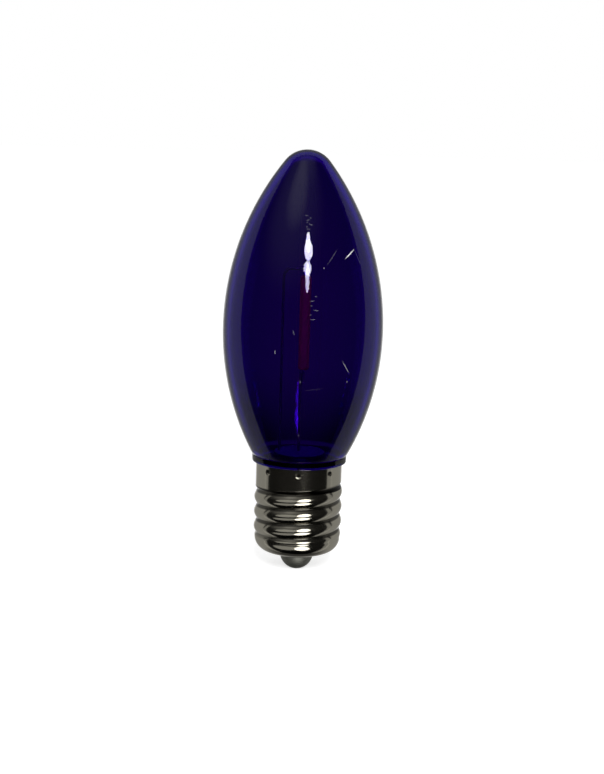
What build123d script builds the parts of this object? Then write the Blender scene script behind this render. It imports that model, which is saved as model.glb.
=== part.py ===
# Christmas light bulb: pointed violet envelope, one upright filament, intermediate screw base.
# The bulb's axis is Z, from the underside of the centre contact (height 0) up to the tip.
# The front, with a stake dimple in its middle, faces -Y. Lengths are millimetres.
from build123d import *
from math import cos, hypot, pi, sin, sqrt
import os

# Envelope, one blow-moulded piece
envelope_height = 57.6
bulb_diameter = 29.75
widest_rise = 24.5
tip_radius = 5.25
envelope_wall = 1.2
rim_diameter = 17.7
rim_height = 1.0
neck_wall = 1.3
neck_end_gap = 0.2

# Screw shell
shell_wall = 0.3
collar_diameter = 16.0
collar_height = 3.8
thread_pitch = 2.822
thread_depth = 0.54
thread_length = 10.9
thread_run_out = 1.4
crest_offset = 6.2
sections_per_turn = 8
shoulder_height = 2.8
shoulder_radius = 2.7
shoulder_turn = 80.0
mouth_diameter = 8.4
neck_clearance = 0.1

# Stakes punched through the collar into the neck
stake_count = 8
stake_drop = 1.1
stake_diameter = 1.3
stake_depth = 0.4
stake_clearance = 0.05

# Centre contact and the insulator that holds it
contact_height = 3.0
contact_diameter = 6.3
shank_diameter = 2.0
shank_length = 2.0
shank_clearance = 0.05
insulator_lip = 0.5
insulator_clearance = 0.05

# Driver board and the pieces under it
board_thickness = 1.0
board_edge_gap = 0.3
rectifier_size = (4.7, 3.9, 1.6)
rectifier_place = (3.0, -2.6)
rectifier_leads = (-1.25, 1.25)
regulator_size = (4.5, 2.5, 1.5)
regulator_place = (-3.0, -3.3)
regulator_leads = (-1.5, 0.0, 1.5)
lead_width = 0.6
lead_reach = 0.5
lead_thickness = 0.3
chip_size = (2.0, 1.25, 0.5)
chip_places = ((1.6, 5.2), (5.3, 0.9))
capacitor_diameter = 5.0
capacitor_length = 7.0
capacitor_edge = 0.4
capacitor_groove = 0.3
capacitor_groove_drop = 1.2
capacitor_place = (-2.6, 3.7)
fuse_diameter = 2.4
fuse_length = 6.0
fuse_edge = 0.4
fuse_drop = 0.8
fuse_place = (2.6, 3.0)
contact_wire_drop = 1.6
shell_wire_place = -6.2
wire_diameter = 0.5
wire_bend = 0.8
wire_clearance = 0.05
solder_diameter = 1.6
solder_height = 0.9
wire_tail = 0.6

# Wire holder, a pale plug in the neck
holder_clearance = 0.1
holder_rise = 1.8
holder_top_diameter = 10.0
holder_wall = 1.2
holder_edge = 0.4

# Filament, its end tabs and the wires that carry it
filament_base = 38.0
filament_length = 17.6
filament_width = 2.1
filament_depth = 1.5
filament_edge = 0.6
filament_offset = 0.3
tab_length = 2.4
tab_width = 0.5
tab_depth = 0.3
tab_gap = 0.2
top_wire_place = -3.8
top_wire_bend = 1.6

# Heights, from the centre contact up
mouth_bottom = contact_height + insulator_lip
thread_bottom = mouth_bottom + shoulder_height
thread_top = thread_bottom + thread_length
shell_top = thread_top + collar_height
neck_bottom = thread_top + neck_end_gap
rim_top = shell_top + rim_height
widest = shell_top + widest_rise
tip = shell_top + envelope_height
board_bottom = neck_bottom - board_thickness
wire_foot = board_bottom - wire_tail
holder_top = shell_top + holder_rise
shank_top = contact_height + shank_length
filament_top = filament_base + filament_length

# Radii
bulb_radius = bulb_diameter / 2
rim_radius = rim_diameter / 2
collar_radius = collar_diameter / 2
collar_bore = collar_radius - shell_wall
thread_bore = collar_bore - thread_depth / 2
neck_radius = collar_bore - neck_clearance
neck_bore = neck_radius - neck_wall
mouth_radius = mouth_diameter / 2
board_radius = thread_bore - board_edge_gap
shank_bore = shank_diameter / 2 + shank_clearance
wire_radius = wire_diameter / 2
wire_hole = wire_radius + wire_clearance

# The lower wire stands against the side of the lower tab
tab_side = filament_offset - tab_width / 2
bottom_wire_place = tab_side - wire_radius


def turned(*outline):
    """Solid turned about the bulb's axis from the edges of a closed outline of radius and height."""
    return revolve(Plane.XZ * make_face(outline), Axis.Z)


def bar(radius, bottom, top, x=0.0, y=0.0):
    """Upright round bar between two heights."""
    return Pos(x, y, bottom) * extrude(Circle(radius), top - bottom)


def block(size, x, y, bottom):
    """Upright block standing on a height."""
    return Pos(x, y, bottom) * extrude(Rectangle(size[0], size[1]), size[2])


def bent_wire(points, bend):
    """Round wire along straight runs joined by tangent arcs."""
    path = FilletPolyline(*points, radius=bend)
    return sweep(Plane(path @ 0, z_dir=path % 0) * Circle(wire_radius), path)


def bulb_outline(inset, foot_radius):
    """Lower, upper and tip arcs of the bulb, set in from its skin, each running into the next."""
    belly = bulb_radius - rim_radius
    lower_radius = (belly**2 + (widest - rim_top) ** 2) / (2 * belly)
    foot_reach = foot_radius - bulb_radius + lower_radius
    foot = widest - sqrt((lower_radius - inset) ** 2 - foot_reach**2)
    tip_centre = tip - tip_radius
    rise = tip_centre - widest
    upper_radius = (bulb_radius**2 + rise**2 - tip_radius**2) / (2 * (bulb_radius - tip_radius))
    span = upper_radius - bulb_radius
    share = (tip_radius - inset) / hypot(span, rise)
    join = (span * share, tip_centre + rise * share)
    side = (bulb_radius - inset, widest)
    lower = TangentArc(side, (foot_radius, foot), tangent=(0, -1))
    upper = TangentArc(side, join, tangent=(0, 1))
    nose = TangentArc(join, (0, tip - inset), tangent=upper % 1)
    return lower, upper, nose


def stake_balls(growth):
    """Ball nose of every stake round the collar, grown for the sheet and the pocket behind it."""
    radius = ((stake_diameter / 2) ** 2 + stake_depth**2) / (2 * stake_depth)
    ball = Pos(0, stake_depth - radius - collar_radius, shell_top - stake_drop) * Sphere(radius + growth)
    return [Rot(0, 0, 360 * i / stake_count) * ball for i in range(stake_count)]


def make_envelope():
    """One-piece envelope: pointed bulb, proud rim on the collar and a staked neck inside it."""
    skin = bulb_outline(0, rim_radius)
    inside = bulb_outline(envelope_wall, neck_bore)
    neck = Polyline(
        skin[0] @ 1,
        (rim_radius, shell_top),
        (neck_radius, shell_top),
        (neck_radius, neck_bottom),
        (neck_bore, neck_bottom),
        inside[0] @ 1,
    )
    envelope = turned(*skin, neck, *inside, Line(skin[2] @ 1, inside[2] @ 1))
    return envelope - stake_balls(shell_wall + stake_clearance)


def thread_section(radius, height):
    """Round section of the threaded shell: its centre circles the axis once for each turn of thread."""
    ends = min(height - thread_bottom, thread_top - height)
    share = min(1.0, ends / thread_run_out)
    swing = thread_depth / 2 * share**2 * (3 - 2 * share)
    angle = 2 * pi * (height - thread_bottom - crest_offset) / thread_pitch
    return Pos(swing * cos(angle), swing * sin(angle), height) * Circle(radius)


def thread_core(radius):
    """Right-hand thread, run out at both ends: straight spans between its turning sections."""
    steps = round(sections_per_turn * thread_length / thread_pitch)
    heights = [thread_bottom + thread_length * i / steps for i in range(steps + 1)]
    return loft([thread_section(radius, height) for height in heights], ruled=True)


def shoulder_outline(inset):
    """Shoulder from the thread down to the mouth, set in from the shell's outer face."""
    centre = (collar_radius - shoulder_radius, thread_bottom)
    turn = CenterArc(centre, shoulder_radius - inset, 0, -shoulder_turn)
    return turn, Line(turn @ 1, (mouth_radius, mouth_bottom + inset))


def make_screw_shell():
    """Rolled sheet shell: staked collar, thread and a shoulder turned in to the mouth."""
    bore = bar(collar_bore, thread_top, shell_top)
    collar = bar(collar_radius, thread_top, shell_top) - bore
    collar += [ball & bore for ball in stake_balls(shell_wall)]
    collar -= stake_balls(0)
    thread = thread_core(collar_radius) - thread_core(collar_bore)
    outer = shoulder_outline(0)
    inner = shoulder_outline(shell_wall)
    ends = [Line(outer[0] @ 0, inner[0] @ 0), Line(outer[1] @ 1, inner[1] @ 1)]
    return collar + thread + turned(*outer, *inner, *ends)


def make_base_insulator():
    """Insulator that fills the shoulder and reaches out of the mouth to the centre contact."""
    shoulder, slope = shoulder_outline(shell_wall + insulator_clearance)
    lip = mouth_radius - insulator_clearance
    rest = Polyline(
        slope @ 1,
        (lip, (slope @ 1).Y),
        (lip, contact_height),
        (shank_bore, contact_height),
        (shank_bore, thread_bottom),
        shoulder @ 0,
    )
    return turned(shoulder, slope, rest)


def make_centre_contact():
    """Domed contact button with a flat land below and a shank up into the insulator."""
    radius = contact_diameter / 2
    shank = shank_diameter / 2
    land = sqrt(radius**2 - contact_height**2)
    low_point = radius / sqrt(2)
    dome = ThreePointArc((land, 0), (low_point, contact_height - low_point), (radius, contact_height))
    rest = Polyline(
        (radius, contact_height),
        (shank, contact_height),
        (shank, shank_top),
        (0, shank_top),
        (0, 0),
        (land, 0),
    )
    return turned(dome, rest)


def make_driver_board():
    """Round board clamped under the neck, drilled for the two support wires."""
    board = bar(board_radius, board_bottom, neck_bottom)
    for place in (top_wire_place, bottom_wire_place):
        board -= bar(wire_hole, board_bottom, neck_bottom, place)
    return board


def make_package(size, place, leads):
    """Moulded chip package under the board, with flat leads along its two long sides."""
    x, y = place
    package = block(size, x, y, board_bottom - size[2])
    span = size[1] + 2 * lead_reach
    for lead in leads:
        package += block((lead_width, span, lead_thickness), x + lead, y, board_bottom - lead_thickness)
    return package


def make_chip_resistor(place):
    """Small chip resistor flat under the board."""
    return block(chip_size, *place, board_bottom - chip_size[2])


def make_smoothing_capacitor():
    """Capacitor can that hangs under the board, with a rolled groove near its sealed end."""
    radius = capacitor_diameter / 2
    bottom = board_bottom - capacitor_length
    groove = board_bottom - capacitor_groove_drop
    outline = [
        (0, bottom),
        (radius - capacitor_edge, bottom),
        (radius, bottom + capacitor_edge),
        (radius, groove - capacitor_groove),
        (radius - capacitor_groove, groove),
        (radius, groove + capacitor_groove),
        (radius, board_bottom),
        (0, board_bottom),
    ]
    return Pos(*capacitor_place, 0) * turned(Polyline(*outline, close=True))


def make_fuse_resistor():
    """Fusible resistor hung from the board on its upper lead."""
    radius = fuse_diameter / 2
    top = board_bottom - fuse_drop
    bottom = top - fuse_length
    outline = [
        (0, bottom),
        (radius - fuse_edge, bottom),
        (radius, bottom + fuse_edge),
        (radius, top - fuse_edge),
        (radius - fuse_edge, top),
        (wire_radius, top),
        (wire_radius, board_bottom),
        (0, board_bottom),
    ]
    return Pos(*fuse_place, 0) * turned(Polyline(*outline, close=True))


def make_contact_wire():
    """Lead from the fusible resistor to the shank of the centre contact."""
    top = board_bottom - fuse_drop - fuse_length
    level = top - contact_wire_drop
    return bent_wire([(*fuse_place, top), (*fuse_place, level), (0, 0, level), (0, 0, shank_top)], wire_bend)


def make_shell_wire():
    """Lead from the board out to the groove of the screw shell's bore that faces the front."""
    level = thread_bottom + crest_offset + thread_pitch / 4
    wall = wire_clearance - thread_bore
    foot = (0, shell_wire_place, board_bottom)
    return bent_wire([foot, (0, shell_wire_place, level), (0, wall, level)], wire_bend)


def make_support_solder(place):
    """Solder fillet that holds a support wire under the board."""
    outline = [
        (wire_hole, board_bottom - solder_height),
        (solder_diameter / 2, board_bottom),
        (wire_hole, board_bottom),
    ]
    return Pos(place, 0, 0) * turned(Polyline(*outline, close=True))


def make_wire_holder():
    """Cup-shaped plug that stands on the board, fills the neck and guides the two support wires."""
    radius = neck_bore - holder_clearance
    top_radius = holder_top_diameter / 2
    cavity = top_radius - holder_wall
    outline = [
        (radius, neck_bottom),
        (radius, shell_top - rim_height),
        (top_radius, holder_top - holder_edge),
        (top_radius - holder_edge, holder_top),
        (0, holder_top),
        (0, holder_top - holder_wall),
        (cavity, holder_top - holder_wall),
        (cavity, neck_bottom),
    ]
    holder = turned(Polyline(*outline, close=True))
    for place in (top_wire_place, bottom_wire_place):
        holder -= bar(wire_hole, neck_bottom, holder_top, place)
    return holder


def make_filament():
    """Coated filament stick of a flat oval section with rounded ends."""
    section = SlotOverall(filament_width, filament_depth)
    stick = Pos(filament_offset, 0, filament_base) * extrude(section, filament_length)
    ends = stick.faces().filter_by(Axis.Z).edges()
    return fillet(ends, filament_edge)


def make_tab(bottom):
    """Flat metal end tab of the filament."""
    return block((tab_width, tab_depth, tab_length), filament_offset, 0, bottom)


def make_top_support_wire():
    """Wire from the board up beside the filament, bent over to the side of its top tab."""
    level = filament_top + tab_length / 2
    return bent_wire(
        [(top_wire_place, 0, wire_foot), (top_wire_place, 0, level), (tab_side, 0, level)],
        top_wire_bend,
    )


def make_bottom_support_wire():
    """Straight wire from the board up the side of the filament's lower tab."""
    return bar(wire_radius, wire_foot, filament_base - tab_gap, bottom_wire_place)


def save(name, *solids):
    """Write one node's solids to its own file."""
    shape = solids[0] if len(solids) == 1 else Compound(children=list(solids))
    export_step(shape, os.path.join("parts", name + ".step"))


os.makedirs("parts", exist_ok=True)
save("envelope", make_envelope())
save("screw_shell", make_screw_shell())
save("base_insulator", make_base_insulator())
save("centre_contact", make_centre_contact())
save("driver_board", make_driver_board())
save("bridge_rectifier", make_package(rectifier_size, rectifier_place, rectifier_leads))
save("regulator_chip", make_package(regulator_size, regulator_place, regulator_leads))
save("chip_resistors", *[make_chip_resistor(place) for place in chip_places])
save("smoothing_capacitor", make_smoothing_capacitor())
save("fuse_resistor", make_fuse_resistor())
save("contact_wire", make_contact_wire())
save("shell_wire", make_shell_wire())
save("support_solder", *[make_support_solder(place) for place in (top_wire_place, bottom_wire_place)])
save("wire_holder", make_wire_holder())
save("filament", make_filament())
save("filament_top_tab", make_tab(filament_top))
save("filament_bottom_tab", make_tab(filament_base - tab_length))
save("top_support_wire", make_top_support_wire())
save("bottom_support_wire", make_bottom_support_wire())
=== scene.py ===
"""Studio scene of a violet Christmas light bulb: pointed plastic envelope, filament, screw base.

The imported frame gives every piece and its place, in metres with the bulb's axis on Z. The envelope
and the screw shell are remade here as fine meshes, and every other piece keeps its own solid.
Lengths are written in millimetres times MM, and angles in degrees.
"""

from __future__ import annotations

import logging
import math
from dataclasses import dataclass, field
from enum import Enum, IntEnum
from typing import Any

import bmesh
import bpy
from mathutils import Matrix, Quaternion, Vector

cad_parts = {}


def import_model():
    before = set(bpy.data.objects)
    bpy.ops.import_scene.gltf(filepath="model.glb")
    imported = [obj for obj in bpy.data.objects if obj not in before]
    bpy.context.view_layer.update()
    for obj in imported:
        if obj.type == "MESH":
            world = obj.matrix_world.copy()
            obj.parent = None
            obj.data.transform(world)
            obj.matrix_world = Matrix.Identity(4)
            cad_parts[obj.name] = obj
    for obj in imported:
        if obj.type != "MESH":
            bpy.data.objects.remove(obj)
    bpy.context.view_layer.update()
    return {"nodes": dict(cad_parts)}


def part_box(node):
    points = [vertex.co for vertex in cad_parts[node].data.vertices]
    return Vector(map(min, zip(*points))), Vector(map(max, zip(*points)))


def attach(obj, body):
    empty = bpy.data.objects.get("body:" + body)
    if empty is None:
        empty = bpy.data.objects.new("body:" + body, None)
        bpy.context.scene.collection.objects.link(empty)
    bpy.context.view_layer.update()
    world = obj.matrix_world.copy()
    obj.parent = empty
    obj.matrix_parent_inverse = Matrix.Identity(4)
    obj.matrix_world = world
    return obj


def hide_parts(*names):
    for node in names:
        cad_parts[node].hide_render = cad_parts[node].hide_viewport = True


LOG = logging.getLogger("bulb")
MM = 0.001
QUARTER_TURN = 90.0
IMAGE_HEIGHT = 774
WHITE = "#FFFFFF"

# The sRGB curve: a straight foot, then a power.
SRGB_FOOT = 0.04045
SRGB_SLOPE = 12.92
SRGB_OFFSET = 0.055
SRGB_POWER = 2.4


class Ray(Enum):
    """Kinds of ray that the surroundings answer differently, by their Light Path outputs."""

    CAMERA = "Is Camera Ray"
    GLOSSY = "Is Glossy Ray"
    TRANSMISSION = "Is Transmission Ray"
    SHADOW = "Is Shadow Ray"


class Lit(Enum):
    """What a lamp lights: the bulb without its metal base, or that base alone."""

    BULB = "EXCLUDE"
    BASE = "INCLUDE"


class MixInput(IntEnum):
    """Inputs of the Mix node by number, because several share a name."""

    FACTOR = 0
    VALUE_A = 2
    VALUE_B = 3
    COLOUR_A = 6
    COLOUR_B = 7


class MixOutput(IntEnum):
    """Outputs of the Mix node by number, because they share a name."""

    VALUE = 0
    COLOUR = 2


def linear(colour: str) -> tuple[float, float, float, float]:
    """Turn an sRGB hex colour into linear values.

    Args:
        colour: Six hex digits after a hash sign.

    Returns:
        Linear red, green and blue, and an alpha of one.
    """
    values = []
    for start in (1, 3, 5):
        share = int(colour[start : start + 2], 16) / 255
        if share <= SRGB_FOOT:
            values.append(share / SRGB_SLOPE)
        else:
            values.append(((share + SRGB_OFFSET) / (1 + SRGB_OFFSET)) ** SRGB_POWER)
    red, green, blue = values
    return red, green, blue, 1.0


def eased(share: float) -> float:
    """Return a share from nought to one, eased at both ends."""
    return share**2 * (3 - 2 * share)


def heading(azimuth: float, elevation: float) -> Vector:
    """Work out a direction from the bulb.

    Args:
        azimuth: Angle from the front, positive to the right.
        elevation: Angle above level.

    Returns:
        The direction, one unit long.
    """
    turn = math.radians(azimuth)
    lift = math.radians(elevation)
    return Vector((math.sin(turn) * math.cos(lift), -math.cos(turn) * math.cos(lift), math.sin(lift)))


def add_node(
    tree: bpy.types.NodeTree,
    kind: str,
    inputs: dict[str | int, Any] | None = None,
    **settings: Any,
) -> bpy.types.Node:
    """Add one node with its settings, plain input values and links.

    Args:
        tree: Node tree that takes the node.
        kind: Blender's name of the node type.
        inputs: Value or source socket for each input, by its name or number.
        settings: Properties of the node.

    Returns:
        The new node.
    """
    node = tree.nodes.new(kind)
    for name, value in settings.items():
        setattr(node, name, value)
    for key, value in (inputs or {}).items():
        if isinstance(value, bpy.types.NodeSocket):
            tree.links.new(value, node.inputs[key])
        else:
            node.inputs[key].default_value = value
    return node


def new_material(name: str) -> tuple[bpy.types.Material, bpy.types.NodeTree]:
    """Make an empty node material.

    Args:
        name: Name of the finish.

    Returns:
        The material and its node tree.
    """
    material = bpy.data.materials.new(name)
    material.use_nodes = True
    material.node_tree.nodes.clear()
    return material, material.node_tree


@dataclass(frozen=True)
class Finish:
    """An even opaque finish, one shader with the same values all over."""

    name: str
    colour: str
    roughness: float
    metallic: float = 0.0

    def material(self) -> bpy.types.Material:
        """Make the finish.

        Returns:
            The finish as a material.
        """
        material, tree = new_material(self.name)
        shader = add_node(
            tree,
            "ShaderNodeBsdfPrincipled",
            {
                "Base Color": linear(self.colour),
                "Roughness": self.roughness,
                "Metallic": self.metallic,
            },
        )
        add_node(tree, "ShaderNodeOutputMaterial", {"Surface": shader.outputs["BSDF"]})
        return material


@dataclass(frozen=True)
class ShadedPlateFinish:
    """A metal plate with painted shade, a dark rougher coat where the piece's own attribute says."""

    name: str
    colour: str
    shade_colour: str
    roughness: float
    shade_roughness: float
    attribute: str = "painted_shade"

    def material(self) -> bpy.types.Material:
        """Make the plate with its painted shade.

        Returns:
            The finish as a material.
        """
        material, tree = new_material(self.name)
        # Painted shade: where the attribute says, a dark rougher coat stands in for the shade in the
        # shell's hollows.
        painted_shade = add_node(tree, "ShaderNodeAttribute", attribute_name=self.attribute)
        colour = add_node(
            tree,
            "ShaderNodeMix",
            {
                MixInput.FACTOR: painted_shade.outputs["Fac"],
                MixInput.COLOUR_A: linear(self.colour),
                MixInput.COLOUR_B: linear(self.shade_colour),
            },
            data_type="RGBA",
        )
        rough = add_node(
            tree,
            "ShaderNodeMix",
            {
                MixInput.FACTOR: painted_shade.outputs["Fac"],
                MixInput.VALUE_A: self.roughness,
                MixInput.VALUE_B: self.shade_roughness,
            },
        )
        shader = add_node(
            tree,
            "ShaderNodeBsdfPrincipled",
            {
                "Base Color": colour.outputs[MixOutput.COLOUR],
                "Roughness": rough.outputs[MixOutput.VALUE],
                "Metallic": 1.0,
            },
        )
        add_node(tree, "ShaderNodeOutputMaterial", {"Surface": shader.outputs["BSDF"]})
        return material


@dataclass(frozen=True)
class BandedFinish:
    """An opaque finish with a band of another colour between two heights."""

    name: str
    colour: str
    lit_band_colour: str
    band: tuple[float, float]
    roughness: float

    def material(self) -> bpy.types.Material:
        """Make the two-coloured finish.

        Returns:
            The finish as a material.
        """
        material, tree = new_material(self.name)
        place = add_node(tree, "ShaderNodeTexCoord")
        split = add_node(tree, "ShaderNodeSeparateXYZ", {"Vector": place.outputs["Object"]})
        bottom, top = self.band
        banded = add_node(
            tree,
            "ShaderNodeMath",
            {0: split.outputs["Z"], 1: (bottom + top) / 2, 2: (top - bottom) / 2},
            operation="COMPARE",
        )
        colour = add_node(
            tree,
            "ShaderNodeMix",
            {
                MixInput.FACTOR: banded.outputs["Value"],
                MixInput.COLOUR_A: linear(self.colour),
                MixInput.COLOUR_B: linear(self.lit_band_colour),
            },
            data_type="RGBA",
        )
        shader = add_node(
            tree,
            "ShaderNodeBsdfPrincipled",
            {"Base Color": colour.outputs[MixOutput.COLOUR], "Roughness": self.roughness},
        )
        add_node(tree, "ShaderNodeOutputMaterial", {"Surface": shader.outputs["BSDF"]})
        return material


@dataclass(frozen=True)
class PageFinish:
    """Matt white paper for the floor."""

    # A glow that only the camera sees lifts the paper to white and leaves the shadow on it a soft grey.
    name: str = "white page"
    colour: str = "#E4E4E4"
    glow: float = 0.64

    def material(self) -> bpy.types.Material:
        """Make the paper.

        Returns:
            The finish as a material.
        """
        material, tree = new_material(self.name)
        path = add_node(tree, "ShaderNodeLightPath")
        glow = add_node(
            tree,
            "ShaderNodeMath",
            {0: path.outputs[Ray.CAMERA.value], 1: self.glow},
            operation="MULTIPLY",
        )
        shader = add_node(
            tree,
            "ShaderNodeBsdfPrincipled",
            {
                "Base Color": linear(self.colour),
                "Roughness": 1.0,
                "Specular IOR Level": 0.0,
                "Emission Color": linear(WHITE),
                "Emission Strength": glow.outputs["Value"],
            },
        )
        add_node(tree, "ShaderNodeOutputMaterial", {"Surface": shader.outputs["BSDF"]})
        return material


@dataclass(frozen=True)
class Scratch:
    """A worn mark on the envelope's skin between two places, each by its angle and height."""

    start: tuple[float, float]
    end: tuple[float, float]
    width: float
    strength: float


@dataclass(frozen=True)
class Hairlines:
    """Fine wear lines that run around the envelope, one above the other.

    Each line is a little shifted, longer or shorter and tilted, by a wave of its number.
    """

    angle: float
    bottom: float
    top: float
    count: int
    shift: float = 2.2
    shift_wave: float = 4.0
    reach: float = 1.6
    reach_change: float = 0.7
    reach_wave: float = 3.0
    tilt: float = 0.1 * MM
    tilt_wave: float = 2.0
    width: float = 0.12 * MM
    strength: float = 0.13

    def scratches(self) -> list[Scratch]:
        """List the lines.

        Returns:
            One scratch for each line, from the lowest up.
        """
        lines = []
        for i in range(self.count):
            height = self.bottom + (self.top - self.bottom) * i / (self.count - 1)
            middle = self.angle + self.shift * math.sin(self.shift_wave * i)
            reach = self.reach + self.reach_change * math.cos(self.reach_wave * i)
            tilt = self.tilt * math.sin(self.tilt_wave * i)
            start = (middle - reach, height - tilt)
            end = (middle + reach, height + tilt)
            lines.append(Scratch(start, end, self.width, self.strength))
        return lines


# A scratch with its two ends on the skin.
Mark = tuple[Vector, Vector, Scratch]


@dataclass(frozen=True)
class VioletPlastic:
    """Blow-moulded clear polystyrene, dyed deep violet."""

    # The polished skin mirrors lamps sharply. The dye eats green first and red next, which leaves a deep
    # blue violet, and a scratch in the skin looks grey white.
    name: str = "blow-moulded violet polystyrene"
    dye: str = "#CB1DF2"
    dye_density: float = 3300.0
    wall_tint: str = "#C828EC"
    ior: float = 1.53
    mark_roughness: float = 0.35
    mark_depth: float = 0.4 * MM
    mark_core: float = 0.5

    def material(self, marks: list[Mark]) -> bpy.types.Material:
        """Make the plastic, with lamps let through to the pieces inside it.

        Args:
            marks: The scratches on the skin.

        Returns:
            The finish as a material.
        """
        material, tree = new_material(self.name)
        path = add_node(tree, "ShaderNodeLightPath")
        worn = self.worn(tree, marks)
        clear = add_node(tree, "ShaderNodeMath", {0: 1.0, 1: worn}, operation="SUBTRACT")
        rough = add_node(tree, "ShaderNodeMath", {0: worn, 1: self.mark_roughness}, operation="MULTIPLY")
        skin = add_node(
            tree,
            "ShaderNodeBsdfPrincipled",
            {
                "Base Color": linear(WHITE),
                "Roughness": rough.outputs["Value"],
                "IOR": self.ior,
                "Transmission Weight": clear.outputs["Value"],
            },
        )
        shade = add_node(tree, "ShaderNodeBsdfTransparent", {"Color": linear(self.wall_tint)})
        surface = add_node(
            tree,
            "ShaderNodeMixShader",
            {0: path.outputs[Ray.SHADOW.value], 1: skin.outputs["BSDF"], 2: shade.outputs["BSDF"]},
        )
        dye = add_node(
            tree,
            "ShaderNodeVolumeAbsorption",
            {"Color": linear(self.dye), "Density": self.dye_density},
        )
        add_node(
            tree,
            "ShaderNodeOutputMaterial",
            {"Surface": surface.outputs["Shader"], "Volume": dye.outputs["Volume"]},
        )
        return material

    def worn(self, tree: bpy.types.NodeTree, marks: list[Mark]) -> bpy.types.NodeSocket:
        """Work out how worn each point of the skin is, by a long thin ball of wear about each scratch.

        Args:
            tree: The plastic's node tree.
            marks: The scratches on the skin.

        Returns:
            Socket with the wear, from nought to the scratch's strength.
        """
        place = add_node(tree, "ShaderNodeTexCoord")
        level = add_node(tree, "ShaderNodeValue").outputs["Value"]
        level.default_value = 0.0
        for start, end, mark in marks:
            along = end - start
            across = Vector((start.x, start.y, 0.0)).cross(along).normalized()
            axes = Matrix((along.normalized(), across, along.cross(across).normalized())).transposed()
            ball = add_node(
                tree,
                "ShaderNodeMapping",
                {
                    "Vector": place.outputs["Object"],
                    "Location": (start + end) / 2,
                    "Rotation": axes.to_euler(),
                    "Scale": (along.length / 2, mark.width / 2, self.mark_depth),
                },
                vector_type="TEXTURE",
            )
            away = add_node(tree, "ShaderNodeVectorMath", {0: ball.outputs["Vector"]}, operation="LENGTH")
            wear = add_node(
                tree,
                "ShaderNodeMapRange",
                {
                    "Value": away.outputs["Value"],
                    "From Min": 1.0,
                    "From Max": self.mark_core,
                    "To Min": 0.0,
                    "To Max": mark.strength,
                },
            )
            both = {0: level, 1: wear.outputs["Result"]}
            level = add_node(tree, "ShaderNodeMath", both, operation="MAXIMUM").outputs["Value"]
        return level


class TurnedForm:
    """A form drawn as one outline of radius and height, then spun about the Z axis."""

    def __init__(self, radius: float, height: float) -> None:
        """Start the outline.

        Args:
            radius: Distance of its first point from the axis.
            height: Height of its first point.
        """
        self.mesh = bmesh.new()
        self.end = self.mesh.verts.new((radius, 0.0, height))

    def line(self, radius: float, height: float, steps: int = 1) -> None:
        """Draw on in a straight line.

        Args:
            radius: Distance of the line's end from the axis.
            height: Height of the line's end.
            steps: Number of equal edges.
        """
        step = (Vector((radius, 0.0, height)) - self.end.co) / steps
        for _ in range(steps):
            made = bmesh.ops.extrude_vert_indiv(self.mesh, verts=[self.end])
            self.end = made["verts"][0]
            bmesh.ops.translate(self.mesh, vec=step, verts=[self.end])

    def arc(self, radius: float, height: float, degrees: float, steps: int) -> None:
        """Draw on in a round.

        Args:
            radius: Distance of the round's centre from the axis.
            height: Height of the round's centre.
            degrees: Turn of the round, positive from upwards to outwards.
            steps: Number of equal edges.
        """
        made = bmesh.ops.spin(
            self.mesh,
            geom=[self.end],
            cent=(radius, 0.0, height),
            axis=(0.0, 1.0, 0.0),
            angle=math.radians(degrees),
            steps=steps,
            use_duplicate=False,
        )
        self.end = made["geom_last"][0]

    def spin(self, steps: int, weld: float = 0.001 * MM) -> None:
        """Turn the outline once about the axis and close its seam and poles.

        Args:
            steps: Number of equal turns.
            weld: Distance under which two points become one.
        """
        bmesh.ops.spin(
            self.mesh,
            geom=self.mesh.verts[:] + self.mesh.edges[:],
            cent=(0.0, 0.0, 0.0),
            axis=(0.0, 0.0, 1.0),
            angle=math.tau,
            steps=steps,
            use_merge=True,
        )
        bmesh.ops.remove_doubles(self.mesh, verts=self.mesh.verts, dist=weld)

    def piece(self, name: str, material: bpy.types.Material, crease: float = 40.0) -> bpy.types.Object:
        """Turn the form into a smooth-shaded object of the bulb.

        Args:
            name: Name of the object.
            material: Its finish.
            crease: Angle from which an edge stays sharp.

        Returns:
            The object, riding on the bulb's only body.
        """
        bmesh.ops.recalc_face_normals(self.mesh, faces=self.mesh.faces)
        for face in self.mesh.faces:
            face.smooth = True
        for edge in self.mesh.edges:
            edge.smooth = edge.calc_face_angle(0.0) < math.radians(crease)
        data = bpy.data.meshes.new(name)
        self.mesh.to_mesh(data)
        self.mesh.free()
        data.materials.append(material)
        piece = bpy.data.objects.new(name, data)
        bpy.context.scene.collection.objects.link(piece)
        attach(piece, "root")
        return piece


@dataclass(frozen=True)
class BulbCurve:
    """The bulb's skin in outline: a ball nose and two rounds that meet at the widest place."""

    tip: float
    tip_radius: float
    radius: float
    widest: float
    upper: float
    lower: float

    def nose_turn(self) -> float:
        """Return the angle from straight up to where the nose meets the upper round."""
        return math.degrees(math.atan2(self.upper - self.radius, self.tip - self.tip_radius - self.widest))

    def point(self, angle: float, height: float) -> Vector:
        """Find a point of the skin below the nose.

        Args:
            angle: Its angle from the front.
            height: Its height.

        Returns:
            The point.
        """
        bow = self.upper if height > self.widest else self.lower
        out = self.radius - bow + math.sqrt(bow**2 - (height - self.widest) ** 2)
        turn = math.radians(angle)
        return Vector((out * math.sin(turn), -out * math.cos(turn), height))


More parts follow.
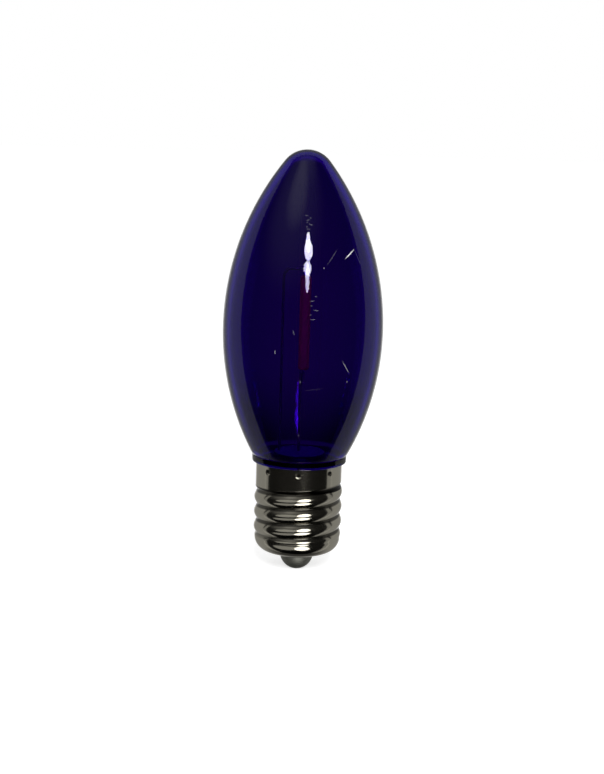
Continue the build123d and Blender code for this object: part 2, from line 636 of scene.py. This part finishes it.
@dataclass
class Envelope:
    """The pointed bulb with its wall, the proud rim on the collar and the neck inside the collar."""

    wall: float = 1.2 * MM
    tip_radius: float = 5.25 * MM
    widest_rise: float = 24.5 * MM
    skin_foot: float = 1.0 * MM
    rim_diameter: float = 17.7 * MM
    rim_height: float = 1.05 * MM
    rim_groove: float = 0.15 * MM
    rim_edge: float = 0.08 * MM
    rim_round: float = 0.3 * MM
    rim_drop: float = 0.3 * MM
    rim_bore: float = 8.15 * MM
    neck_diameter: float = 15.2 * MM
    neck_wall: float = 1.3 * MM
    inside_box: float = 0.01 * MM
    turns: int = 192
    nose_steps: int = 20
    upper_steps: int = 48
    lower_steps: int = 36
    rim_edge_steps: int = 4
    rim_round_steps: int = 10
    bore_steps: int = 4
    finish: VioletPlastic = VioletPlastic()
    scratches: tuple[Scratch, ...] = (
        Scratch((33.2, 59.7 * MM), (45.8, 61.5 * MM), 0.25 * MM, 0.7),
        Scratch((45.0, 61.4 * MM), (50.0, 58.4 * MM), 0.12 * MM, 0.08),
        Scratch((28.0, 61.6 * MM), (17.0, 58.6 * MM), 0.15 * MM, 0.07),
        Scratch((15.2, 58.1 * MM), (14.6, 58.4 * MM), 0.22 * MM, 0.3),
        Scratch((28.6, 42.0 * MM), (36.0, 39.3 * MM), 0.16 * MM, 0.22),
        Scratch((-19.0, 43.6 * MM), (-19.0, 42.8 * MM), 0.17 * MM, 0.28),
        Scratch((-1.3, 37.9 * MM), (-0.6, 38.2 * MM), 0.22 * MM, 0.3),
        Scratch((34.5, 37.8 * MM), (35.2, 38.0 * MM), 0.22 * MM, 0.3),
        Scratch((-1.5, 27.7 * MM), (-0.7, 27.9 * MM), 0.24 * MM, 0.35),
        Scratch((-7.0, 47.4 * MM), (-5.6, 46.4 * MM), 0.25 * MM, 0.06),
        Scratch((2.0, 36.4 * MM), (16.0, 36.9 * MM), 0.12 * MM, 0.03),
        *Hairlines(2.5, 64.9 * MM, 67.2 * MM, 7).scratches(),
        *Hairlines(6.5, 49.3 * MM, 53.3 * MM, 6).scratches(),
    )

    def build(self) -> bpy.types.Object:
        """Spin the outline of skin, rim, neck and inner wall.

        Returns:
            The envelope, which stands for its solid.
        """
        low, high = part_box("envelope")
        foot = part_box("screw_shell")[1].z
        curve = self.curve(foot, high.z - self.inside_box, high.x - self.inside_box)
        form = TurnedForm(0.0, curve.tip)
        self.draw_skin(form, curve, foot)
        self.draw_rim(form, foot)
        self.draw_inside(form, curve, foot, low.z)
        form.spin(self.turns)
        marks = [(curve.point(*mark.start), curve.point(*mark.end), mark) for mark in self.scratches]
        piece = form.piece("bulb_envelope", self.finish.material(marks))
        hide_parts("envelope")
        return piece

    def curve(self, foot: float, tip: float, radius: float) -> BulbCurve:
        """Work out the rounds of the skin.

        Args:
            foot: Height of the collar's top.
            tip: Height of the tip.
            radius: Radius at the widest place.

        Returns:
            The skin in outline.
        """
        widest = foot + self.widest_rise
        belly = radius - self.rim_diameter / 2
        reach = widest - foot - self.skin_foot
        lower = (belly**2 + reach**2) / (2 * belly)
        rise = tip - self.tip_radius - widest
        upper = (radius**2 + rise**2 - self.tip_radius**2) / (2 * (radius - self.tip_radius))
        return BulbCurve(tip, self.tip_radius, radius, widest, upper, lower)

    def draw_skin(self, form: TurnedForm, curve: BulbCurve, foot: float) -> None:
        """Draw the skin from the tip down to the groove over the rim.

        Args:
            form: The outline so far.
            curve: The rounds of the skin.
            foot: Height of the collar's top.
        """
        groove = foot + self.rim_height + self.rim_groove
        groove_turn = math.degrees(math.asin((curve.widest - groove) / curve.lower))
        nose_turn = curve.nose_turn()
        form.arc(0.0, curve.tip - self.tip_radius, nose_turn, self.nose_steps)
        form.arc(curve.radius - curve.upper, curve.widest, QUARTER_TURN - nose_turn, self.upper_steps)
        form.arc(curve.radius - curve.lower, curve.widest, groove_turn, self.lower_steps)

    def draw_rim(self, form: TurnedForm, foot: float) -> None:
        """Draw the groove's floor and the rim, which hangs a little over the collar.

        Args:
            form: The outline so far.
            foot: Height of the collar's top.
        """
        rim = self.rim_diameter / 2
        top = foot + self.rim_height
        round_height = foot - self.rim_drop + self.rim_round
        form.line(rim - self.rim_groove, top)
        form.line(rim - self.rim_edge, top)
        form.arc(rim - self.rim_edge, top - self.rim_edge, QUARTER_TURN, self.rim_edge_steps)
        form.line(rim, round_height)
        form.arc(rim - self.rim_round, round_height, QUARTER_TURN, self.rim_round_steps)
        form.line(self.rim_bore, foot)

    def draw_inside(self, form: TurnedForm, curve: BulbCurve, foot: float, low: float) -> None:
        """Draw the neck inside the collar and the inner wall up to the tip.

        Args:
            form: The outline so far.
            curve: The rounds of the skin.
            foot: Height of the collar's top.
            low: Height of the neck's end.
        """
        neck = self.neck_diameter / 2
        bore = neck - self.neck_wall
        form.line(neck, foot)
        form.line(neck, low)
        form.line(bore, low)
        inner = curve.lower - self.wall
        bore_turn = math.acos((bore - curve.radius + curve.lower) / inner)
        nose_turn = curve.nose_turn()
        form.line(bore, curve.widest - inner * math.sin(bore_turn), self.bore_steps)
        form.arc(curve.radius - curve.lower, curve.widest, -math.degrees(bore_turn), self.lower_steps)
        form.arc(curve.radius - curve.upper, curve.widest, nose_turn - QUARTER_TURN, self.upper_steps)
        form.arc(0.0, curve.tip - self.tip_radius, -nose_turn, self.nose_steps)


@dataclass
class ScrewShell:
    """The rolled nickel-plated shell: staked collar, right-hand thread, shoulder and mouth."""

    wall: float = 0.3 * MM
    collar_radius: float = 8.08 * MM
    collar_height: float = 3.8 * MM
    thread_length: float = 11.0 * MM
    thread_pitch: float = 2.822 * MM
    thread_depth: float = 0.55 * MM
    crest_rise: float = 0.2 * MM
    crest_offset: float = 6.15 * MM
    groove_round: float = 0.003
    thread_run_out: float = 1.4 * MM
    top_run_out: float = 0.6 * MM
    level_length: float = 1.4 * MM
    shoulder_radius: float = 2.7 * MM
    shoulder_turn: float = 80.0
    mouth_radius: float = 4.2 * MM
    edge_round: float = 0.12 * MM
    stake_count: int = 8
    stake_drop: float = 1.55 * MM
    stake_radius: float = 0.44 * MM
    stake_depth: float = 0.4 * MM
    stake_lip: float = 0.16 * MM
    stake_ring: float = 0.6 * MM
    # Painted shade in the groove: its darkness, where it starts and how far it fades; under the collar it
    # reaches further.
    shade_share: float = 0.8
    shade_edge: float = 0.5
    shade_fade: float = 0.2
    level_shade_edge: float = 0.85
    turns: int = 256
    edge_steps: int = 4
    collar_steps: int = 36
    thread_steps: int = 140
    shoulder_steps: int = 24
    lip_steps: int = 3
    inner_lip_steps: int = 2
    inner_shoulder_steps: int = 12
    inner_thread_steps: int = 50
    inner_collar_steps: int = 18
    # Nickel on rolled sheet is a warm soft mirror: bright bands beside nearly black ones. Painted shade
    # draws a dark line along the groove, under the collar and in the stakes, where the shell's hollows lie
    # in shade.
    finish: ShadedPlateFinish = ShadedPlateFinish("satin nickel plate", "#D6D1C0", "#1A1814", 0.13, 0.25)

    def build(self) -> bpy.types.Object:
        """Spin the sheet, roll the thread into it and punch the stakes.

        Returns:
            The shell, which stands for its solid.
        """
        low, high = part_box("screw_shell")
        top = high.z - self.collar_height
        bottom = top - self.thread_length
        form = TurnedForm(self.collar_radius - self.wall, high.z)
        self.draw_outside(form, (high.z, top, bottom, low.z))
        self.draw_inside(form, (low.z, bottom, top, high.z))
        form.spin(self.turns)
        self.roll_thread(form.mesh, bottom, top)
        self.punch_stakes(form.mesh, high.z - self.stake_drop)
        piece = form.piece("rolled_screw_shell", self.finish.material())
        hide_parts("screw_shell")
        return piece

    def draw_outside(self, form: TurnedForm, heights: tuple[float, float, float, float]) -> None:
        """Draw the outer face of the sheet down from the collar's edge.

        Args:
            form: The outline so far.
            heights: Heights of the collar's top, the thread's top and bottom, and the mouth.
        """
        collar_top, top, bottom, mouth = heights
        outer = self.collar_radius
        form.line(outer - self.edge_round, collar_top)
        form.arc(outer - self.edge_round, collar_top - self.edge_round, QUARTER_TURN, self.edge_steps)
        form.line(outer, top, self.collar_steps)
        form.line(outer, bottom, self.thread_steps)
        form.arc(outer - self.shoulder_radius, bottom, self.shoulder_turn, self.shoulder_steps)
        form.line(self.mouth_radius, mouth, self.lip_steps)

    def draw_inside(self, form: TurnedForm, heights: tuple[float, float, float, float]) -> None:
        """Draw the inner face of the sheet up from the mouth.

        Args:
            form: The outline so far.
            heights: Heights of the mouth, the thread's bottom and top, and the collar's top.
        """
        mouth, bottom, top, collar_top = heights
        inner = self.collar_radius - self.wall
        centre = self.collar_radius - self.shoulder_radius
        bend = self.shoulder_radius - self.wall
        turn = math.radians(self.shoulder_turn)
        form.line(self.mouth_radius, mouth + self.wall)
        form.line(centre + bend * math.cos(turn), bottom - bend * math.sin(turn), self.inner_lip_steps)
        form.arc(centre, bottom, -self.shoulder_turn, self.inner_shoulder_steps)
        form.line(inner, top, self.inner_thread_steps)
        form.line(inner, collar_top, self.inner_collar_steps)

    def roll_thread(self, mesh: bmesh.types.BMesh, bottom: float, top: float) -> None:
        """Bow the threaded length out along a helix of broad crests and in along its narrow groove.

        The topmost crest stays level with the collar. Painted shade darkens the groove, more widely under
        the collar.

        Args:
            mesh: The plain shell.
            bottom: Height where the thread begins.
            top: Height where it ends.
        """
        deepest = math.sqrt(self.groove_round / (1 + self.groove_round))
        painted_shade = mesh.verts.layers.float.new(self.finish.attribute)
        for vert in mesh.verts:
            height = vert.co.z
            share = min(1.0, (height - bottom) / self.thread_run_out, (top - height) / self.top_run_out)
            if share <= 0.0:
                continue
            out = Vector((vert.co.x, vert.co.y, 0.0)).normalized()
            phase = math.tau * (height - bottom - self.crest_offset) / self.thread_pitch
            phase -= math.atan2(out.y, out.x)
            bow = math.sqrt((math.cos(phase / 2) ** 2 + self.groove_round) / (1 + self.groove_round))
            swing = self.crest_rise - self.thread_depth * (1 - bow) / (1 - deepest)
            edge = self.shade_edge
            full = self.shade_share
            if height > top - self.level_length:
                swing = min(swing, 0.0)
                edge = self.level_shade_edge
                full = 1.0
            # Painted shade: the groove, and a wider strip under the collar, are marked dark.
            vert[painted_shade] = share * full * min(1.0, max(0.0, (edge - bow) / self.shade_fade))
            vert.co += out * swing * eased(share)

    def punch_stakes(self, mesh: bmesh.types.BMesh, height: float) -> None:
        """Press a ball-nosed dimple into the collar at each stake, painted dark in shade but for its lit
        lower lip.

        Args:
            mesh: The threaded shell.
            height: Height of the stakes.
        """
        front = Vector((0.0, -self.collar_radius, height))
        places = [
            Matrix.Rotation(math.tau * i / self.stake_count, 4, "Z") @ front
            for i in range(self.stake_count)
        ]
        painted_shade = mesh.verts.layers.float[self.finish.attribute]
        for vert in mesh.verts:
            away = min((vert.co - place).length for place in places)
            # Painted shade: the dimple and the ring round it are marked dark, all but the lit lower lip.
            if away < self.stake_ring and vert.co.z > height - self.stake_lip:
                vert[painted_shade] = 1.0
            if away < self.stake_radius:
                press = math.cos(math.pi / 2 * away / self.stake_radius) ** 2
                out = Vector((vert.co.x, vert.co.y, 0.0)).normalized()
                vert.co -= self.stake_depth * press * out


# Transfer-moulded epoxy: nearly black, with a dull sheen.
CHIP_EPOXY = Finish("black moulding compound", "#18181A", 0.5)
# Drawn and dipped: a bright pale grey line.
TINNED_COPPER = Finish("tinned copper wire", "#C4C4C2", 0.3, 1.0)
# Stamped from drawn strip: a clean warm grey glint.
DRAWN_NICKEL = Finish("drawn nickel", "#A6A29A", 0.3, 1.0)
# Annealed and left bare: a dim grey line through the violet.
DULL_NICKEL = Finish("dull nickel wire", "#857F74", 0.6, 1.0)


@dataclass
class InnerPieces:
    """The pieces that keep their own solids and only get a finish."""

    finishes: dict[str, Finish | BandedFinish] = field(
        default_factory=lambda: {
            # Pressed, tinned and worn: an even soft grey with no sharp mirror lines.
            "centre_contact": Finish("tinned brass button", "#A9A99F", 0.6, 1.0),
            # Pressed in a hot mould: black with a low sheen.
            "base_insulator": Finish("black moulded phenolic", "#141414", 0.5),
            # Pressed and sawn: pale grey green and matt.
            "driver_board": Finish("glass-fibre laminate", "#C9CCB8", 0.6),
            "bridge_rectifier": CHIP_EPOXY,
            "regulator_chip": CHIP_EPOXY,
            # Fired glass over a thick film: nearly black and a little shiny.
            "chip_resistors": Finish("dark chip glaze", "#202024", 0.4),
            # Deep-drawn and left bare: a soft bright silver.
            "smoothing_capacitor": Finish("bare aluminium can", "#C9CBCC", 0.35, 1.0),
            # Dipped and baked: a smooth grey blue.
            "fuse_resistor": Finish("grey-blue lacquer", "#7A9096", 0.4),
            "contact_wire": TINNED_COPPER,
            "shell_wire": TINNED_COPPER,
            # Set from the melt: small bright silver fillets.
            "support_solder": Finish("solder", "#BFC0C2", 0.3, 1.0),
            # Moulded plastic. Painted light: the top is pale and the sides dark, as if light fell only on
            # the top; it shows as a dim pale ellipse above the collar.
            "wire_holder": BandedFinish(
                "moulded plug with a painted lit top",
                colour="#1C1A12",
                lit_band_colour="#8A8880",
                band=(22.72 * MM, 22.9 * MM),
                roughness=0.5,
            ),
            # Dispensed and cured over the chips: satin orange, wine red through the violet wall.
            "filament": Finish("orange-red silicone coat", "#E8893E", 0.45),
            "filament_top_tab": DRAWN_NICKEL,
            "filament_bottom_tab": DRAWN_NICKEL,
            "top_support_wire": DULL_NICKEL,
            "bottom_support_wire": DULL_NICKEL,
        }
    )

    def dress(self, nodes: dict[str, bpy.types.Object]) -> None:
        """Give each solid its finish, made once for all the pieces that share it.

        Args:
            nodes: The frame's solids by name.
        """
        made: dict[Finish | BandedFinish, bpy.types.Material] = {}
        for name, finish in self.finishes.items():
            if finish not in made:
                made[finish] = finish.material()
            nodes[name].data.materials.clear()
            nodes[name].data.materials.append(made[finish])
            LOG.info("%s: %s", name, finish.name)


@dataclass(frozen=True)
class SoftLamp:
    """An oval soft lamp, placed by its direction and angular size as the bulb sees it."""

    name: str
    azimuth: float
    elevation: float
    width: float
    height: float
    brightness: float
    lit: Lit
    mirrored: bool = True
    distance: float = 600.0 * MM

    def build(self, aim: Vector, base: list[bpy.types.Object]) -> None:
        """Add the lamp.

        Args:
            aim: Point that it faces.
            base: The pieces of the metal base.
        """
        away = heading(self.azimuth, self.elevation)
        lamp = bpy.data.lights.new(self.name, "AREA")
        lamp.shape = "ELLIPSE"
        lamp.size = 2 * self.distance * math.tan(math.radians(self.width / 2))
        lamp.size_y = 2 * self.distance * math.tan(math.radians(self.height / 2))
        # A lamp of this power has the brightness as its radiance.
        area = math.pi / 4 * lamp.size * lamp.size_y
        lamp.energy = self.brightness * math.pi * area
        holder = bpy.data.objects.new(self.name, lamp)
        holder.visible_glossy = self.mirrored
        holder.visible_transmission = self.mirrored
        holder.location = aim + away * self.distance
        holder.rotation_mode = "QUATERNION"
        holder.rotation_quaternion = away.to_track_quat("Z", "Y")
        bpy.context.scene.collection.objects.link(holder)
        listed = bpy.data.collections.new(f"pieces named by the {self.name}")
        for piece in base:
            listed.objects.link(piece)
        for entry in listed.collection_objects:
            entry.light_linking.link_state = self.lit.value
        holder.light_linking.receiver_collection = listed


@dataclass
class Surround:
    """The world: a white page to the camera, and a dim room to polished and to clear pieces.

    A place in the room is told by its share in a direction, from one straight along it to minus one
    straight against it. Each span of shares says where a change of brightness starts and ends.
    """

    elevation: float
    ambient: float = 0.5
    page: float = 0.27
    page_span: tuple[float, float] = (-0.19, -0.14)
    page_far: float = 0.9
    page_far_span: tuple[float, float] = (-1.0, -0.86)
    front: float = 0.008
    ceiling: float = 0.12
    ceiling_span: tuple[float, float] = (0.85, 1.0)
    window: float = 0.35
    window_place: tuple[float, float] = (-33.0, 59.0)
    window_span: tuple[float, float] = (0.92, 1.01)
    window_glow: float = 0.12
    window_glow_span: tuple[float, float] = (0.6, 1.0)
    floor_share: float = 0.15
    floor_span: tuple[float, float] = (-0.95, -0.6)
    through: float = 0.1
    through_low_share: float = 0.1
    through_span: tuple[float, float] = (-0.238, -0.158)
    bent_span: tuple[float, float] = (-0.97, -0.75)
    beside: float = 0.6
    beside_low_span: tuple[float, float] = (-0.5, -0.32)
    beside_high_share: float = 0.5
    beside_high_span: tuple[float, float] = (0.3, 0.8)
    tree: bpy.types.NodeTree = field(init=False)
    place: bpy.types.NodeSocket = field(init=False)
    facing: bpy.types.NodeSocket = field(init=False)
    up: bpy.types.NodeSocket = field(init=False)

    def __post_init__(self) -> None:
        """Start an empty world and measure each place towards the camera and upwards."""
        world = bpy.data.worlds.new("studio surround")
        bpy.context.scene.world = world
        world.use_nodes = True
        self.tree = world.node_tree
        self.tree.nodes.clear()
        self.place = add_node(self.tree, "ShaderNodeTexCoord").outputs["Generated"]
        self.facing = self.share(heading(0.0, self.elevation))
        self.up = self.share(Vector((0.0, 0.0, 1.0)))

    def share(self, towards: Vector) -> bpy.types.NodeSocket:
        """Return the share of each place in a direction."""
        both = {0: self.place, 1: towards}
        return add_node(self.tree, "ShaderNodeVectorMath", both, operation="DOT_PRODUCT").outputs["Value"]

    def ramp(
        self, share: bpy.types.NodeSocket, span: tuple[float, float], start: float, end: float
    ) -> bpy.types.NodeSocket:
        """Change the brightness over a span of shares.

        Args:
            share: The places' shares in a direction.
            span: Shares where the change starts and ends.
            start: Brightness before it.
            end: Brightness after it.

        Returns:
            Socket with the brightness.
        """
        node = add_node(
            self.tree,
            "ShaderNodeMapRange",
            {"Value": share, "From Min": span[0], "From Max": span[1], "To Min": start, "To Max": end},
            interpolation_type="SMOOTHSTEP",
        )
        return node.outputs["Result"]

    def joined(self, operation: str, *parts: bpy.types.NodeSocket) -> bpy.types.NodeSocket:
        """Join some brightnesses.

        Args:
            operation: Blender's name of the operation.
            parts: The brightnesses.

        Returns:
            Socket with the sum or product of them all.
        """
        whole, *rest = parts
        for part in rest:
            node = add_node(self.tree, "ShaderNodeMath", {0: whole, 1: part}, operation=operation)
            whole = node.outputs["Value"]
        return whole

    def mirrored(self) -> bpy.types.NodeSocket:
        """Work out what polished pieces mirror: a pale page behind, a dark front, a window high up.

        Returns:
            Socket with the brightness.
        """
        window = self.share(heading(*self.window_place))
        room = self.joined(
            "ADD",
            self.ramp(self.facing, self.page_span, self.page, self.front),
            self.ramp(self.facing, self.page_far_span, self.page_far - self.page, 0.0),
            self.ramp(self.up, self.ceiling_span, 0.0, self.ceiling),
            self.ramp(window, self.window_span, 0.0, self.window),
            self.ramp(window, self.window_glow_span, 0.0, self.window_glow),
        )
        return self.joined("MULTIPLY", room, self.ramp(self.up, self.floor_span, self.floor_share, 1.0))

    def seen_through(self) -> bpy.types.NodeSocket:
        """Work out what clear pieces show: the page dimly where rays go nearly straight, brighter beside.

        Returns:
            Socket with the brightness.
        """
        low = self.through_low_share
        straight = self.ramp(self.up, self.through_span, low * self.through, self.through)
        sides = self.joined(
            "MULTIPLY",
            self.ramp(self.facing, self.page_span, self.beside, self.through),
            self.ramp(self.up, self.beside_low_span, low, 1.0),
            self.ramp(self.up, self.beside_high_span, 1.0, self.beside_high_share),
        )
        bent = self.ramp(self.facing, self.bent_span, 0.0, 1.0)
        parts = {MixInput.FACTOR: bent, MixInput.VALUE_A: straight, MixInput.VALUE_B: sides}
        return add_node(self.tree, "ShaderNodeMix", parts).outputs[MixOutput.VALUE]

    def build(self) -> None:
        """Join what each kind of ray sees and light the world with it."""
        path = add_node(self.tree, "ShaderNodeLightPath")
        level: bpy.types.NodeSocket | float = self.ambient
        for ray, seen in (
            (Ray.GLOSSY, self.mirrored()),
            (Ray.TRANSMISSION, self.seen_through()),
            (Ray.CAMERA, 1.0),
        ):
            parts = {
                MixInput.FACTOR: path.outputs[ray.value],
                MixInput.VALUE_A: level,
                MixInput.VALUE_B: seen,
            }
            level = add_node(self.tree, "ShaderNodeMix", parts).outputs[MixOutput.VALUE]
        glow = add_node(self.tree, "ShaderNodeBackground", {"Color": linear(WHITE), "Strength": level})
        add_node(self.tree, "ShaderNodeOutputWorld", {"Surface": glow.outputs["Background"]})


@dataclass
class Studio:
    """White floor and surround, soft lamps in front of the bulb and the camera."""

    aim_height: float = 34.71 * MM
    aim_side: float = 0.138 * MM
    distance: float = 300.0 * MM
    elevation: float = 9.7
    roll: float = 1.685
    focal_pixels: float = 1608.6
    clip_start: float = 10.0 * MM
    floor_size: float = 6000.0 * MM
    floor_finish: PageFinish = PageFinish()
    lamps: tuple[SoftLamp, ...] = (
        # The envelope mirrors these four as one highlight of two lobes.
        SoftLamp("lower key", 4.5, 25.3, 12.0, 6.4, 12.0, Lit.BULB),
        SoftLamp("lower key tail", 4.7, 21.0, 6.2, 13.0, 12.0, Lit.BULB),
        SoftLamp("upper key", 6.0, 33.3, 12.0, 9.4, 17.0, Lit.BULB),
        SoftLamp("upper key peak", 5.2, 36.8, 6.6, 9.2, 17.0, Lit.BULB),
        # This one lights the filament and the scratches, and nothing mirrors it.
        SoftLamp("inner fill", 5.2, 29.0, 14.0, 20.0, 25.0, Lit.BULB, mirrored=False),
        # The thread's crests mirror these as pairs of bands, and the collar mirrors the gap between them.
        SoftLamp("upper base key", 15.5, 11.2, 33.0, 33.5, 3.0, Lit.BASE),
        SoftLamp("lower base key", 15.5, -36.0, 35.0, 30.0, 2.5, Lit.BASE),
        SoftLamp("upper base side", -28.0, 10.0, 64.0, 30.0, 0.28, Lit.BASE),
        SoftLamp("lower base side", -28.0, -36.0, 70.0, 28.0, 0.26, Lit.BASE),
        # These two light both sides of the metal.
        SoftLamp("left base wall", -93.0, -13.0, 10.0, 110.0, 0.22, Lit.BASE),
        SoftLamp("right base wall", 90.0, -13.0, 16.0, 110.0, 0.22, Lit.BASE),
    )

    def build(self, base: list[bpy.types.Object]) -> None:
        """Set up the floor, the surround, the lamps and the camera.

        Args:
            base: The pieces of the metal base.
        """
        bpy.context.scene.view_settings.view_transform = "Standard"
        self.build_floor()
        Surround(self.elevation).build()
        for lamp in self.lamps:
            lamp.build(Vector((0.0, 0.0, self.aim_height)), base)
        self.build_camera()

    def build_floor(self) -> None:
        """Lay a pale floor under the contact that the camera sees as white, with the bulb's shadow."""
        mesh = bmesh.new()
        bmesh.ops.create_grid(mesh, size=self.floor_size / 2)
        data = bpy.data.meshes.new("floor")
        mesh.to_mesh(data)
        mesh.free()
        data.materials.append(self.floor_finish.material())
        floor = bpy.data.objects.new("floor", data)
        floor.visible_glossy = False
        floor.visible_transmission = False
        bpy.context.scene.collection.objects.link(floor)

    def build_camera(self) -> None:
        """Place the camera at the photograph's angle, with its slight roll."""
        back = heading(0.0, self.elevation)
        data = bpy.data.cameras.new("camera")
        data.lens = data.sensor_width * self.focal_pixels / IMAGE_HEIGHT
        data.clip_start = self.clip_start
        camera = bpy.data.objects.new("camera", data)
        camera.location = Vector((self.aim_side, 0.0, self.aim_height)) + back * self.distance
        camera.rotation_mode = "QUATERNION"
        roll = Quaternion((0.0, 0.0, 1.0), math.radians(self.roll))
        camera.rotation_quaternion = (-back).to_track_quat("-Z", "Y") @ roll
        bpy.context.scene.collection.objects.link(camera)
        bpy.context.scene.camera = camera


def main() -> None:
    """Build the bulb and its studio."""
    logging.basicConfig(level=logging.INFO)
    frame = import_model()
    envelope = Envelope().build()
    shell = ScrewShell().build()
    for piece in (envelope, shell):
        LOG.info("%s: %d faces", piece.name, len(piece.data.polygons))
    InnerPieces().dress(frame["nodes"])
    Studio().build([shell, frame["nodes"]["centre_contact"]])


if __name__ == "__main__":
    main()
